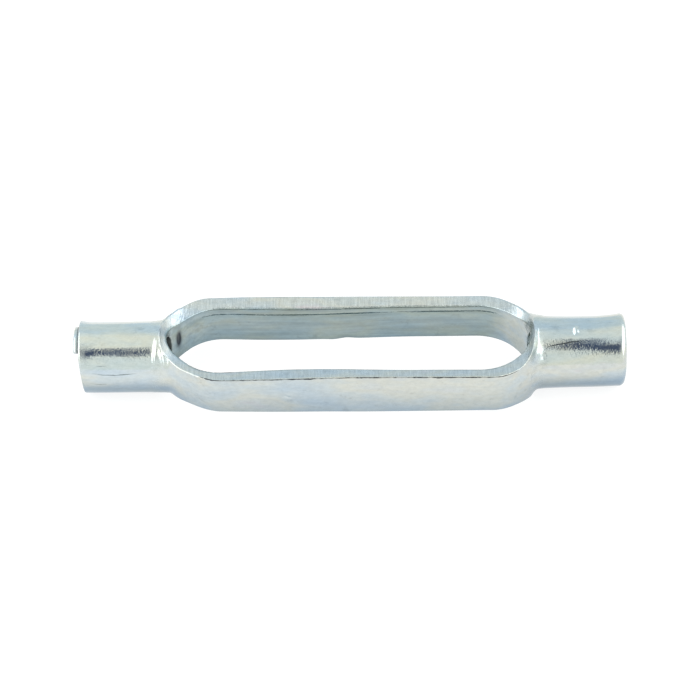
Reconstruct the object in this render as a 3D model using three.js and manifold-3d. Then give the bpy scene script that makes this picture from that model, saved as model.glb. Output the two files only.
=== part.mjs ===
// Turnbuckle body: two tapped round bosses joined by two reins round an open slot, pressed in one piece.
// Millimetres. X runs along the screw axis and Z up through the open slot.
// The origin is on the screw axis, midway between the two end faces.
import * as THREE from 'three';
import { mergeVertices } from 'three/addons/utils/BufferGeometryUtils.js';
import Module from 'manifold-3d';

// Overall sizes
const LENGTH = 110;
const BOSS_RADIUS = 7.25;
const OUTER_HALF_WIDTH = 12.55;
const REIN_HALF_HEIGHT = 4.3;

// The reins spread from the bosses over one length, and flatten to barrel-shaped outer sides over another
const SPREAD_LENGTH = 11.2;
const FLATTEN_LENGTH = 6;
const SIDE_BARREL_HALF_HEIGHT = 18;

// Slot: a round tip at each end, 45 degree flanks and a long run that narrows a little at its middle
const SLOT_HALF_WIDTH = 9.5;
const SLOT_MIDDLE_HALF_WIDTH = 9.15;
const SLOT_FLANK_LENGTH = 10.5;
const FLANK_ANGLE = Math.PI / 4;
const FLANK_PULL = 4.8;
const RUN_PULL = 3.6;

// How far a cutter runs past the metal it trims
const TRIM_CLEAR = 2;

// Rim round at each end face, and the countersink at each thread's outer mouth
const RIM_ROUND = 0.85;
const MOUTH_RADIUS = 4.4;
const MOUTH_DEPTH = 1.2;
const MOUTH_OVERRUN = 0.5;

// M8 thread: the tapped crest is flat for a quarter pitch and the root for an eighth
const PITCH = 1.25;
const THREAD_MAJOR_RADIUS = 4;
const THREAD_MINOR_RADIUS = 3.324;
const ROOT_FLAT = PITCH / 8;
const CREST_FLAT = PITCH / 4;
const FLANK = (PITCH - ROOT_FLAT - CREST_FLAT) / 2;
const THREAD_COLUMNS = 20;
const CUTTER_TIP = 0.5;
const CUTTER_REACH = 3.6;

// The right boss is upset a little towards its rim, mostly on its upper far side
const FLARE = 0.3;
const FLARE_LENGTH = 8;
const FLARE_ANGLE = THREE.MathUtils.degToRad(48);

// A thin lip left by parting stands proud of the left end face, inside its rim
const LIP_PROUD = 1;
const LIP_INNER_RADIUS = 5.2;
const LIP_OUTER_RADIUS = 6.3;
const LIP_FROM = THREE.MathUtils.degToRad(58);
const LIP_TO = THREE.MathUtils.degToRad(131);
const LIP_ROOT = 0.6;

// Each end: its side of the origin, its boss length from end face to slot, the radius of the slot's tip,
// how far outside the slot the reins begin to spread, how far outside the slot the full round boss ends,
// the length over which it then steps down to the flat reins, and the hand of its thread.
const LEFT = { side: -1, boss: 17.7, tip: 5.8, spread: 2.2, shoulder: 1.6, stepDown: 2, hand: -1 };
const RIGHT = { side: 1, boss: 19.2, tip: 7.8, spread: 3.9, shoulder: 1, stepDown: 1.3, hand: 1 };

const SECTION_SIDES = 56;
const SPREAD_STATIONS = 12;
const CURVE_SEGMENTS = 8;

const { smoothstep, lerp } = THREE.MathUtils;
const endFace = (end) => (end.side * LENGTH) / 2;
const slotEnd = (end) => endFace(end) - end.side * end.boss;
const spreadStart = (end) => slotEnd(end) + end.side * end.spread;
const spreadEnd = (end) => spreadStart(end) - end.side * SPREAD_LENGTH;
const shoulderAt = (end) => slotEnd(end) + end.side * end.shoulder;

const wasm = await Module();
wasm.setup();

function solid(geometry) {
  const bare = geometry.clone();
  bare.deleteAttribute('normal');
  bare.deleteAttribute('uv');
  const merged = mergeVertices(bare, 1e-5);
  const vertProperties = new Float32Array(merged.attributes.position.array);
  const triVerts = new Uint32Array(merged.index.array);
  return new wasm.Manifold(new wasm.Mesh({ numProp: 3, vertProperties, triVerts }));
}

function geometryFrom(manifold) {
  const mesh = manifold.getMesh();
  const geometry = new THREE.BufferGeometry();
  geometry.setAttribute('position', new THREE.BufferAttribute(new Float32Array(mesh.vertProperties), 3));
  geometry.setIndex(new THREE.BufferAttribute(new Uint32Array(mesh.triVerts), 1));
  geometry.computeVertexNormals();
  return geometry;
}

function indexed(points, faces) {
  const geometry = new THREE.BufferGeometry();
  geometry.setAttribute('position', new THREE.Float32BufferAttribute(points.flat(), 3));
  geometry.setIndex(faces.flat());
  return geometry;
}

// How far a station has gone from boss (0) to rein (1), in a change of one length from each end's start
function towardsRein(x, startAt, length) {
  const gone = [LEFT, RIGHT].map((end) => smoothstep(end.side * (startAt(end) - x), 0, length));
  return Math.min(...gone);
}

function rimDrop(x) {
  const inset = LENGTH / 2 - Math.abs(x);
  const short = Math.max(0, RIM_ROUND - inset);
  return RIM_ROUND - Math.sqrt(RIM_ROUND ** 2 - short ** 2);
}

// The blank's elliptical section at one station along the screw axis
function sectionAt(x) {
  const spread = towardsRein(x, spreadStart, SPREAD_LENGTH);
  const flatten = towardsRein(x, shoulderAt, FLATTEN_LENGTH);
  const flare = FLARE * smoothstep(x, endFace(RIGHT) - FLARE_LENGTH, endFace(RIGHT));
  const round = flare - rimDrop(x);
  return {
    x,
    centreY: flare * Math.cos(FLARE_ANGLE),
    centreZ: flare * Math.sin(FLARE_ANGLE),
    halfWidth: lerp(BOSS_RADIUS, OUTER_HALF_WIDTH, spread) + round,
    halfHeight: lerp(BOSS_RADIUS, SIDE_BARREL_HALF_HEIGHT, flatten) + round,
  };
}

function evenly(from, to, count) {
  return Array.from({ length: count }, (_, i) => lerp(from, to, i / count));
}

function stations() {
  const rimSteps = [0, 0.08, 0.3, 0.6, 1].map((step) => step * RIM_ROUND);
  const flareSteps = [0.3, 0.5, 0.7, 1].map((step) => step * FLARE_LENGTH);
  return [
    ...rimSteps.map((step) => endFace(LEFT) + step),
    ...evenly(spreadStart(LEFT), spreadEnd(LEFT), SPREAD_STATIONS),
    spreadEnd(LEFT),
    ...evenly(spreadEnd(RIGHT), spreadStart(RIGHT), SPREAD_STATIONS),
    spreadStart(RIGHT),
    ...flareSteps.reverse().map((step) => endFace(RIGHT) - step),
    ...rimSteps.reverse().map((step) => endFace(RIGHT) - step),
  ];
}

function ringPoint(section, i) {
  const angle = (2 * Math.PI * i) / SECTION_SIDES;
  const y = section.centreY + section.halfWidth * Math.cos(angle);
  const z = section.centreZ + section.halfHeight * Math.sin(angle);
  return [section.x, y, z];
}

// The pressing before it is trimmed and pierced: a loft through every station, closed by flat ends
function blank() {
  const sections = stations().map(sectionAt);
  const points = [];
  const faces = [];
  sections.forEach((section) => {
    for (let i = 0; i < SECTION_SIDES; i += 1) points.push(ringPoint(section, i));
  });
  const last = sections.length - 1;
  const start = points.push([sections[0].x, sections[0].centreY, sections[0].centreZ]) - 1;
  const finish = points.push([sections[last].x, sections[last].centreY, sections[last].centreZ]) - 1;
  for (let i = 0; i < SECTION_SIDES; i += 1) {
    const next = (i + 1) % SECTION_SIDES;
    faces.push([start, next, i]);
    faces.push([finish, last * SECTION_SIDES + i, last * SECTION_SIDES + next]);
    for (let row = 0; row < last; row += 1) {
      const here = row * SECTION_SIDES;
      const there = here + SECTION_SIDES;
      faces.push([here + i, here + next, there + next], [here + i, there + next, there + i]);
    }
  }
  return solid(indexed(points, faces));
}

// Everything above (side 1) or below (side -1) the flat reins, between the two shoulders
function trimCutter(side) {
  const flat = side * REIN_HALF_HEIGHT;
  const top = SIDE_BARREL_HALF_HEIGHT + TRIM_CLEAR;
  const steepness = (top - REIN_HALF_HEIGHT) / (BOSS_RADIUS - REIN_HALF_HEIGHT);
  const footAt = (end) => shoulderAt(end) - end.side * end.stepDown;
  const topAt = (end) => footAt(end) + end.side * end.stepDown * steepness;
  const outline = new THREE.Shape();
  outline.moveTo(footAt(LEFT), flat);
  outline.lineTo(footAt(RIGHT), flat);
  outline.lineTo(topAt(RIGHT), side * top);
  outline.lineTo(topAt(LEFT), side * top);
  const depth = 2 * (OUTER_HALF_WIDTH + TRIM_CLEAR);
  const geometry = new THREE.ExtrudeGeometry(outline, { depth, bevelEnabled: false });
  geometry.rotateX(Math.PI / 2);
  geometry.translate(0, depth / 2, 0);
  return solid(geometry);
}

// The flank from one tip's arc to the long run: the arc's end, two handles and the run's end.
// side 1 is the far flank (+Y) and side -1 the near one.
function flank(end, side) {
  const inwards = -end.side;
  const pull = FLANK_PULL * Math.cos(FLANK_ANGLE);
  const arcX = slotEnd(end) + inwards * end.tip * (1 - Math.cos(FLANK_ANGLE));
  const arcY = side * end.tip * Math.sin(FLANK_ANGLE);
  const runX = slotEnd(end) + inwards * SLOT_FLANK_LENGTH;
  const runY = side * SLOT_HALF_WIDTH;
  return {
    arcEnd: [arcX, arcY],
    arcHandle: [arcX + inwards * pull, arcY + side * pull],
    runHandle: [runX - inwards * RUN_PULL, runY],
    runEnd: [runX, runY],
  };
}

// The slot's outline, counter-clockwise from the left tip's far flank
function slotOutline() {
  const middleX = (slotEnd(LEFT) + slotEnd(RIGHT)) / 2;
  const middleY = 2 * SLOT_MIDDLE_HALF_WIDTH - SLOT_HALF_WIDTH;
  const [leftFar, leftNear, rightNear, rightFar] = [
    flank(LEFT, 1), flank(LEFT, -1), flank(RIGHT, -1), flank(RIGHT, 1)];
  const outline = new THREE.Shape();
  const leftCentre = slotEnd(LEFT) + LEFT.tip;
  const rightCentre = slotEnd(RIGHT) - RIGHT.tip;
  outline.absarc(leftCentre, 0, LEFT.tip, Math.PI - FLANK_ANGLE, Math.PI + FLANK_ANGLE);
  outline.bezierCurveTo(...leftNear.arcHandle, ...leftNear.runHandle, ...leftNear.runEnd);
  outline.quadraticCurveTo(middleX, -middleY, ...rightNear.runEnd);
  outline.bezierCurveTo(...rightNear.runHandle, ...rightNear.arcHandle, ...rightNear.arcEnd);
  outline.absarc(rightCentre, 0, RIGHT.tip, -FLANK_ANGLE, FLANK_ANGLE);
  outline.bezierCurveTo(...rightFar.arcHandle, ...rightFar.runHandle, ...rightFar.runEnd);
  outline.quadraticCurveTo(middleX, middleY, ...leftFar.runEnd);
  outline.bezierCurveTo(...leftFar.runHandle, ...leftFar.arcHandle, ...leftFar.arcEnd);
  return outline;
}

function slotCutter() {
  const depth = 2 * (BOSS_RADIUS + TRIM_CLEAR);
  const options = { depth, bevelEnabled: false, curveSegments: CURVE_SEGMENTS };
  const geometry = new THREE.ExtrudeGeometry(slotOutline(), options);
  geometry.translate(0, 0, -depth / 2);
  return solid(geometry);
}

// Rows of the thread form, each a helix: its place along the axis at angle 0, and its radius
function threadRows(from, to) {
  const form = [
    [0, THREAD_MAJOR_RADIUS],
    [ROOT_FLAT, THREAD_MAJOR_RADIUS],
    [ROOT_FLAT + FLANK, THREAD_MINOR_RADIUS],
    [ROOT_FLAT + FLANK + CREST_FLAT, THREAD_MINOR_RADIUS],
  ];
  const turns = Math.ceil((to - from) / PITCH);
  const rows = [];
  for (let turn = 0; turn < turns; turn += 1) {
    form.forEach(([offset, radius]) => rows.push([from + turn * PITCH + offset, radius]));
  }
  rows.push([from + turns * PITCH, THREAD_MAJOR_RADIUS]);
  return { rows, perTurn: form.length };
}

// A tap: a solid screw whose column n runs on into column 0 of the next turn, with a cone at each end
function tapCutter(from, to, hand) {
  const { rows, perTurn } = threadRows(from, to);
  const last = rows.length - 1;
  const vertex = (row, column) => (column < THREAD_COLUMNS
    ? row * THREAD_COLUMNS + column
    : (row + perTurn) * THREAD_COLUMNS);
  const points = [];
  rows.forEach(([x, radius]) => {
    for (let column = 0; column < THREAD_COLUMNS; column += 1) {
      const turn = column / THREAD_COLUMNS;
      const angle = hand * turn * 2 * Math.PI;
      points.push([x + turn * PITCH, radius * Math.cos(angle), radius * Math.sin(angle)]);
    }
  });
  const start = points.push([rows[0][0] - CUTTER_TIP, 0, 0]) - 1;
  const finish = points.push([rows[last][0] + PITCH + CUTTER_TIP, 0, 0]) - 1;
  const faces = [];
  for (let row = 0; row < last; row += 1) {
    const columns = row + 1 + perTurn <= last ? THREAD_COLUMNS : THREAD_COLUMNS - 1;
    for (let column = 0; column < columns; column += 1) {
      const a = vertex(row, column);
      const b = vertex(row, column + 1);
      const c = vertex(row + 1, column + 1);
      const d = vertex(row + 1, column);
      faces.push([a, b, c], [a, c, d]);
    }
  }
  for (let column = 0; column < THREAD_COLUMNS; column += 1) {
    faces.push([start, vertex(0, column + 1), vertex(0, column)]);
  }
  for (let row = 0; row < perTurn; row += 1) {
    faces.push([start, vertex(row, 0), vertex(row + 1, 0)]);
  }
  for (let column = 0; column < THREAD_COLUMNS - 1; column += 1) {
    faces.push([finish, vertex(last, column), vertex(last, column + 1)]);
  }
  for (let row = last; row > last - perTurn; row -= 1) {
    faces.push([finish, vertex(row, THREAD_COLUMNS - 1), vertex(row - 1, THREAD_COLUMNS - 1)]);
  }
  faces.push([finish, vertex(last - perTurn, THREAD_COLUMNS - 1), vertex(last, 0)]);
  const wound = hand > 0 ? faces : faces.map(([a, b, c]) => [a, c, b]);
  return solid(indexed(points, wound));
}

function threadCutter(end) {
  const outside = endFace(end) + end.side * CUTTER_REACH;
  const inside = slotEnd(end) - end.side * CUTTER_REACH;
  return tapCutter(Math.min(outside, inside), Math.max(outside, inside), end.hand);
}

// The 45 degree countersink at a thread's outer mouth
function mouthCutter(end) {
  const outer = MOUTH_RADIUS + MOUTH_OVERRUN;
  const inner = MOUTH_RADIUS - MOUTH_DEPTH;
  const height = MOUTH_DEPTH + MOUTH_OVERRUN;
  const geometry = new THREE.CylinderGeometry(outer, inner, height, SECTION_SIDES);
  geometry.rotateZ((-end.side * Math.PI) / 2);
  geometry.translate(endFace(end) + end.side * (MOUTH_OVERRUN - height / 2), 0, 0);
  return solid(geometry);
}

function partingLip() {
  const outline = new THREE.Shape();
  outline.absarc(0, 0, LIP_OUTER_RADIUS, LIP_FROM, LIP_TO);
  outline.absarc(0, 0, LIP_INNER_RADIUS, LIP_TO, LIP_FROM, true);
  const options = { depth: LIP_PROUD + LIP_ROOT, bevelEnabled: false, curveSegments: CURVE_SEGMENTS };
  const geometry = new THREE.ExtrudeGeometry(outline, options);
  const axes = new THREE.Matrix4().makeBasis(
    new THREE.Vector3(0, 1, 0), new THREE.Vector3(0, 0, 1), new THREE.Vector3(1, 0, 0));
  geometry.applyMatrix4(axes);
  geometry.translate(endFace(LEFT) - LIP_PROUD, 0, 0);
  return solid(geometry);
}

function bodyGeometry() {
  let body = blank().add(partingLip());
  const cutters = [trimCutter(1), trimCutter(-1), slotCutter()];
  [LEFT, RIGHT].forEach((end) => cutters.push(threadCutter(end), mouthCutter(end)));
  cutters.forEach((cutter) => {
    body = body.subtract(cutter);
  });
  return geometryFrom(body);
}

const zincPlate = new THREE.MeshStandardMaterial({ color: 0xc3cfd1, roughness: 0.28, metalness: 1 });
const turnbuckleBody = new THREE.Mesh(bodyGeometry(), zincPlate);
turnbuckleBody.name = 'turnbuckle_body';

const turnbuckle = new THREE.Group();
turnbuckle.add(turnbuckleBody);

export default turnbuckle;
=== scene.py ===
"""The looks of a zinc-plated turnbuckle body: shape, threads, forging marks, finish, light and camera."""

import math

import bpy
import numpy as np
from mathutils import Matrix, Vector


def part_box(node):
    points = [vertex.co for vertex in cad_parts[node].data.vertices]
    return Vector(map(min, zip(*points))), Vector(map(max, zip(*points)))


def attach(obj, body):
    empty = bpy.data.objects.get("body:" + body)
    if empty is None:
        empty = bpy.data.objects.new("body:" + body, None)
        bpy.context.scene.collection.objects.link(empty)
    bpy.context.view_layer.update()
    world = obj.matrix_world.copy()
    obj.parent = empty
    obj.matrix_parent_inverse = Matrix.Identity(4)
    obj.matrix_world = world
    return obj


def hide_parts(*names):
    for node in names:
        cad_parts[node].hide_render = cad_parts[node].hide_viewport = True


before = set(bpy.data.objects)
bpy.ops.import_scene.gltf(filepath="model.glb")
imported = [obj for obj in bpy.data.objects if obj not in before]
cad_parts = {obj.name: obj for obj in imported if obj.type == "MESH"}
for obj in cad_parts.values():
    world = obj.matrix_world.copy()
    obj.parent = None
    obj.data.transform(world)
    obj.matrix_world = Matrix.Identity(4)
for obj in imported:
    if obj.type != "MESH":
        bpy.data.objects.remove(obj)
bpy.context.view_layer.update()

BODY = "turnbuckle_body"
body_low, body_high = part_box(BODY)

MM = 0.001

# The lens looks at the near side from above
ELEVATION = math.radians(42)
LENS_BACK = Vector((0, -math.cos(ELEVATION), math.sin(ELEVATION)))
LENS_UP = Vector((0, math.sin(ELEVATION), math.cos(ELEVATION)))

# Sizes shared with the CAD body, in metres. X runs along the screw axis, Z up through the slot.
END_FACE = body_high.x
LIP_PROUD = -END_FACE - body_low.x
OUTER_HALF_WIDTH = body_high.y
BOSS_RADIUS = 7.25 * MM
LIMIT_ROUND = 0.3 * MM
MOUTH_RADIUS = 4.4 * MM
PITCH = 1.25 * MM
THREAD_MAJOR = 4.0 * MM
THREAD_MINOR = 3.324 * MM

# The plain, slightly oval length beside the slot, and where it passes to the full thread outside the slot
PLAIN_BORE = 3.5 * MM
PLAIN_BORE_OVAL = (1.1, 0.79)
PLAIN_BORE_ENDS = (0.6 * MM, 1.2 * MM)

# The thread's ridge: steps in each turn, how deep its root is sunk in the wall, half widths at the root and
# the crest, its distances from the end face and the slot, the turns over which it fades in and out, its least
# width, and the angle from which its edges are sharp
THREAD_COLUMNS = 44
THREAD_SUNK = 0.08 * MM
THREAD_HALF_ROOT = PITCH * 0.44
THREAD_HALF_CREST = PITCH / 8
THREAD_FROM_FACE = 1.1 * MM
THREAD_FROM_SLOT = 0.9 * MM
THREAD_FADE_TURNS = 0.5
THREAD_LEAST_WIDTH = 0.2
THREAD_SHARP_ANGLE = math.radians(35)

# The reins: their spread from the bosses, and a section that is barrel-shaped outside and hollow inside
FLATTEN_LENGTH = 6.0 * MM
BARREL_HALF_HEIGHT = 24.0 * MM
REIN_INNER_EDGE = 4.07 * MM
REIN_OUTER_EDGE = 4.8 * MM
REIN_THICKNESS = 2.95 * MM
REIN_HOLLOW = 0.18 * MM
NEAR_SET_IN = 0.5 * MM
NEAR_SET_IN_ENDS = 12.0 * MM
NEAR_TOP_EDGE = 4.53 * MM
NEAR_TOP_RISE = 0.02

# The reins' top faces are a little higher along part of their length: height, middle and reach
FAR_LIFT = (0.35 * MM, -16.0 * MM, 18.0 * MM)
NEAR_LIFT = (0.42 * MM, 4.0 * MM, 26.0 * MM)

# The slot: round tips, 45 degree flanks and a long run that narrows a little left of its middle
SLOT_HALF_WIDTH = 9.5 * MM
SLOT_NARROWING = 0.6 * MM
NARROWING_AT = -11.0 * MM
NARROWING_REACH = 24.0 * MM
FLANK_BLEND = 3.2 * MM

# Where one form gives way to another: across from the near side to the far side, out from the screw axis to
# the near side, and up from the under side
SIDE_BLEND = (-2 * MM, 2 * MM)
NEAR_BLEND = (0, 4 * MM)
UPPER_BLEND = (0, MM)

# Edges: cut edges are broken by small rounds, which are larger on the far side of the junctions
EDGE_ROUND = 0.26 * MM
JUNCTION_ROUND = 1.1 * MM
JUNCTION_ROUND_ACROSS = (0, 5 * MM)
JUNCTION_LENGTH = 8.0 * MM
UNDER_ROUND = 0.55 * MM
SLOT_EDGE_ROUND = 0.32 * MM
SLOT_TIP_ROUND = 0.19 * MM
SLOT_TIP_ALONG = (4 * MM, 11 * MM)
DIE_ROLL = 0.5 * MM
DIE_ROLL_ACROSS = (3 * MM, 8 * MM)
MOUTH_ROUND = 0.15 * MM

# The far wall of the slot steps back above this height
LEDGE_HEIGHT = 2.75 * MM
LEDGE_DEPTH = 0.15 * MM
LEDGE_REACH = 0.37 * MM
LEDGE_ACROSS = (2 * MM, 7 * MM)

# Each boss is upset a little towards its rim, mostly on its upper far side, and swells towards the reins
FLARE_ANGLE = math.radians(48)
FLARE_EVENLY = 0.5
SWELL_START = -4 * MM
SWELL_LENGTH = 9.0 * MM

# The shoulders' ramps stop rising this many decay lengths outside the slot
RAMP_LIMIT = 2

# The sheared end faces bend into their slant over this length
SLANT_SOFTNESS = MM

# Slow waves that forging and plating leave in every face
WAVE_SEED = 7
WAVE_COUNT = 16
WAVE_LENGTHS = (2.5 * MM, 9.0 * MM)
WAVE_SLOPE = 0.008
WAVE_DRAW = (0.3, 1.0, 1.0)

# Two laps of metal folded over on the left boss beside the slot: each one's height, half width, place at its
# top and at its foot, and the angles of its foot and top up from the near side. They rise and fall over the
# same share of their length.
LAPS = (
    (0.13 * MM, 0.22 * MM, -39.3 * MM, -40.0 * MM, math.radians(22), math.radians(78)),
    (0.15 * MM, 0.3 * MM, -38.6 * MM, -37.6 * MM, math.radians(16), math.radians(57)),
)
LAP_SOFTNESS = 0.25

# A crease beside the right boss
CREASE_DEPTH = 0.14 * MM
CREASE_WIDTH = 0.2 * MM
CREASE_X = 35.9 * MM
CREASE_RISE = (-2.8 * MM, 1.3 * MM)
CREASE_SOFTNESS = 0.8 * MM

# Bumps (dents where negative): height, middle and reach in millimetres
BUMPS = (
    (-0.25, (44.9, -1.6, 7.1), (0.5, 1.1, 1.1)),
    (0.14, (36.9, -1.5, 7.4), (0.35, 0.9, 0.9)),
    (0.12, (36.6, -3.6, 6.6), (0.4, 0.7, 0.7)),
    (0.2, (37.1, -5.7, 4.9), (0.45, 0.8, 0.8)),
    (0.16, (35.9, -7.3, 3.0), (0.6, 0.7, 0.7)),
    (-0.12, (38.2, -6.2, 4.2), (0.4, 0.6, 0.6)),
    (-0.1, (36.4, -8.1, -0.5), (0.35, 1.2, 1.2)),
    (-0.3, (-1.1, 9.0, -4.3), (1.5, 0.8, 0.8)),
    (0.12, (-4.0, 9.0, -4.3), (1.6, 0.8, 0.8)),
    (0.3, (-35.8, 8.6, 4.6), (0.9, 0.9, 0.9)),
    (-0.22, (-35.1, 4.7, 0.8), (0.3, 0.8, 1.7)),
    (-0.12, (-13.6, -12.3, 0.0), (0.3, 0.5, 0.3)),
    (-0.1, (-12.8, -12.3, -0.3), (0.25, 0.5, 0.25)),
)

# The ragged flash line left along the slot's upper rim, from far left round the near rein to far right: the
# places that it passes in plan, in millimetres, its least and greatest radius, and how thin it is round the
# slot's ends
FLASH_PLAN = (
    (-33.0, 8.8), (-36.0, 6.0), (-38.6, 3.0), (-39.1, 0.0), (-38.3, -3.5), (-36.5, -6.0), (-33.5, -9.3),
    (-28.0, -11.8), (0.0, -12.2), (29.0, -12.0), (33.5, -9.5), (36.0, -6.5), (37.2, -3.0), (37.5, 0.0),
    (37.0, 3.5), (35.3, 6.5), (33.0, 8.5),
)
FLASH_STEP = 0.14 * MM
FLASH_RADII = (0.04 * MM, 0.13 * MM)
FLASH_END_SHARE = 0.35
FLASH_END_ACROSS = (6 * MM, 9.5 * MM)
FLASH_SETTLING = 12
FLASH_SMOOTHING = 20
FLASH_SEED = 7

# A thin tube under the flash along the near rein, painted dark: painted shade of the crack there
CRACK_RADII = (0.02 * MM, 0.2 * MM)
CRACK_DROP = 0.16 * MM
CRACK_ACROSS = -9 * MM
CRACK_HALF_LENGTH = 33 * MM
CRACK_SEED = 8

# These lines are thin tubes. Their radius follows two random waves, given by their shares and their reaches
# in steps, and thins out to a share at the ends. Each side of a tube has its own wave: the least share of
# the radius, the range above it and the reach in steps. Each wave draws a few numbers more than it needs.
TUBE_SIDES = 8
RAGGED_WAVES = ((0.6, 9), (0.4, 3))
RAGGED_END_STEPS = 20
RAGGED_END_SHARE = 0.1
RAGGED_SIDE = (0.7, 0.6, 4)
SPARE_DRAWS = 4

# Fine dark lines on the bosses: a painted dark reflection that curves up the right one, and draw lines on the
# left one. Each one's name, how dark it is, its least and greatest radius, and the places that it passes, in
# millimetres: along X, and above the screw axis as the lens sees it.
FINE_LINES = (
    ("dark_reflection_line", 1.0, (0.09, 0.147), ((37.9, -0.1), (38.6, 0.6), (39.3, 1.05), (40.6, 1.4), (42.0, 1.6),
                                       (44.0, 1.98), (46.5, 2.25))),
    ("draw_line_upper", 0.8, (0.08, 0.14), ((-51.3, -1.8), (-49.2, -1.84))),
    ("draw_line_middle", 0.5, (0.05, 0.12), ((-52.2, -3.25), (-50.0, -3.64), (-47.5, -3.7), (-45.4, -3.56),
                                             (-43.0, -3.38))),
    ("draw_line_lower", 0.6, (0.05, 0.12), ((-51.8, -5.48), (-49.4, -5.55))),
)
FINE_LINE_STEP = 0.15 * MM
FINE_LINE_SEED = 9

# The parting lip inside the left rim, and the shade painted in the hollow behind it: the shade's middle off
# the end face, its reach, and how far inside the lip it starts
LIP_RADIUS = 5.75 * MM
LIP_HALF_WIDTH = 0.53 * MM
LIP_ROOT = 0.6 * MM
LIP_ANGLE = math.radians(92)
LIP_HALF_ANGLE = math.radians(38.5)
LIP_ROUND = 0.45 * MM
LIP_CREVICE_SHADE = (-0.1 * MM, 0.17 * MM)
LIP_CREVICE_SHADE_INSIDE = 0.2 * MM

# Each end: its side, the slot's end and tip radius, the round on its rim and the slant of its sheared face,
# its upset rim's height and reach, where the section starts to stand up outside the slot (far, then near),
# the rise of the shoulder's ramp at the slot and the ramp's decay length, and the thread's hand. The far and
# near outer faces have their start outside the slot, a length, and the softness of their start and end.
LEFT = dict(
    side=-1, slot=-37.3 * MM, tip=5.8 * MM, rim_round=0.42 * MM, slant=0.8 * MM,
    flare=0.2 * MM, flare_length=3.5 * MM, swell=0.1 * MM,
    shoulders=(1.2 * MM, -0.2 * MM), rise=1.15 * MM, decay=1.5 * MM, hand=-1,
    far=(0.4 * MM, 6.0 * MM, 0.5, 0.5), near=(-0.3 * MM, 8.3 * MM, 0.12, 0.3),
)
RIGHT = dict(
    side=1, slot=35.8 * MM, tip=7.8 * MM, rim_round=1.25 * MM, slant=0.0,
    flare=0.42 * MM, flare_length=8.0 * MM, swell=0.3 * MM,
    shoulders=(0.3 * MM, 1.6 * MM), rise=1.8 * MM, decay=1.08 * MM, hand=1,
    far=(1.4 * MM, 7.4 * MM, 0.5, 0.5), near=(0.7 * MM, 4.4 * MM, 0.4, 1.0),
)
ENDS = (LEFT, RIGHT)

# Where the finishes differ, and where shade is painted in the bores and the slot's walls. Each pair of
# distances
# is where one passes to another: off the bores' wall, outside the slot, off the flats, and along X to the
# slot's right end, where its painted shade is paler, and into the right bore.
BORE_FADE = (0.04 * MM, 0.22 * MM)
RECESS_FADE = (0.15 * MM, 0.6 * MM)
FLAT_FADE = (0.12 * MM, 0.3 * MM)
RECESS_PALER = (27 * MM, 33 * MM)
RECESS_PALING = 0.65
RIGHT_BORE_FADE = (MM, 4 * MM)

# The lapped skin round both junctions and at the rims, which is a little rougher
LAPPED_LEFT = (LEFT["slot"] - 3.6 * MM, LEFT["slot"] + MM)
LAPPED_RIGHT = (RIGHT["slot"] - MM, RIGHT["slot"] + 3.2 * MM)
LAPPED_FADE = MM
LAPPED_OUTSIDE = (0.3 * MM, 0.8 * MM)
LAPPED_RIMS = (END_FACE - 2.2 * MM, END_FACE - MM)

# Painted shade on the underside: its colour is darkened where the surface faces down: each metre of height
# counts this much against that
UNDER_SHADE_BY_HEIGHT = 60.0
UNDER_SHADE_FACING = (-0.25, 0.75)

# Painted shade: a dark streak in the far wall beside the left bore, for the shade of the groove that the
# tap's run-out cut there: its place and reach in X and Z, how far outside the slot it can go, and how dark it
# is
TAP_SHADE = (-35.25 * MM, 0.4 * MM)
TAP_SHADE_REACH = (0.45 * MM, 1.8 * MM)
TAP_SHADE_OUTSIDE = MM
TAP_SHADE_DARKNESS = 1.8

# The surface net: its two spacings, the margin round the body, and where the fine spacing is used along X,
# which is near the rims, outside and inside the slot's ends, and at the dent on the right boss
FINE = 0.23 * MM
COARSE = 0.6 * MM
NET_MARGIN = 0.5 * MM
FINE_AT_RIMS = 2.5 * MM
FINE_OUTSIDE_SLOT = 4 * MM
FINE_INSIDE_SLOT = 11 * MM
FINE_AT_DENT = (43.5 * MM, 46.5 * MM)

# Numerical limits: a tiny share and length, the step for slopes, the least squared slope, and the squared
# distance past which a bell falls no further
TINY_SHARE = 1e-6
TINY = 1e-6 * MM
SLOPE_STEP = 0.01 * MM
LEAST_STEEPNESS = 0.05
BELL_END = 30


def ease(value, start, end):
    """A smooth step from 0 at the start to 1 at the end."""
    t = np.clip((value - start) / (end - start), 0, 1)
    return t * t * (3 - 2 * t)


def both(a, b, radius):
    """The overlap of two solids' distance fields, with a round of this radius along the edge they make."""
    corner = np.hypot(np.maximum(a + radius, 0), np.maximum(b + radius, 0))
    return np.minimum(np.maximum(a, b), -radius) + corner


def blended_max(a, b, width):
    """The greater of the two, blended where they differ by less than the width."""
    overlap = np.maximum(width - np.abs(a - b), 0) / width
    return np.maximum(a, b) + overlap * overlap * width / 4


def standing(x, y, length=FLATTEN_LENGTH):
    """How far the section has gone from the boss's round (0) to the reins' tall oval (1)."""
    gone = []
    for end in ENDS:
        far, near = end["shoulders"]
        start = near + (far - near) * ease(y, *SIDE_BLEND)
        gone.append(ease(end["side"] * (end["slot"] - x) + start, 0, length))
    return np.minimum(*gone)


def spread(x, side):
    """How far one side's outer face has gone from boss (0) to rein (1)."""
    gone = []
    for end in ENDS:
        start, length, softness_in, softness_out = end[side]
        share = (end["side"] * (end["slot"] - x) + start) / length
        gone.append(-blended_max(-blended_max(share, 0, softness_in), -1, softness_out))
    return np.minimum(*gone)


def outer_half_width(x, y):
    """The body's half width over its outer faces."""
    far = OUTER_HALF_WIDTH - BOSS_RADIUS
    near = far - NEAR_SET_IN * (1 - ease(x, LEFT["slot"], NEAR_SET_IN_ENDS))
    far_part = far * spread(x, "far")
    near_part = near * spread(x, "near")
    return BOSS_RADIUS + near_part + (far_part - near_part) * ease(y, *SIDE_BLEND)


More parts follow.
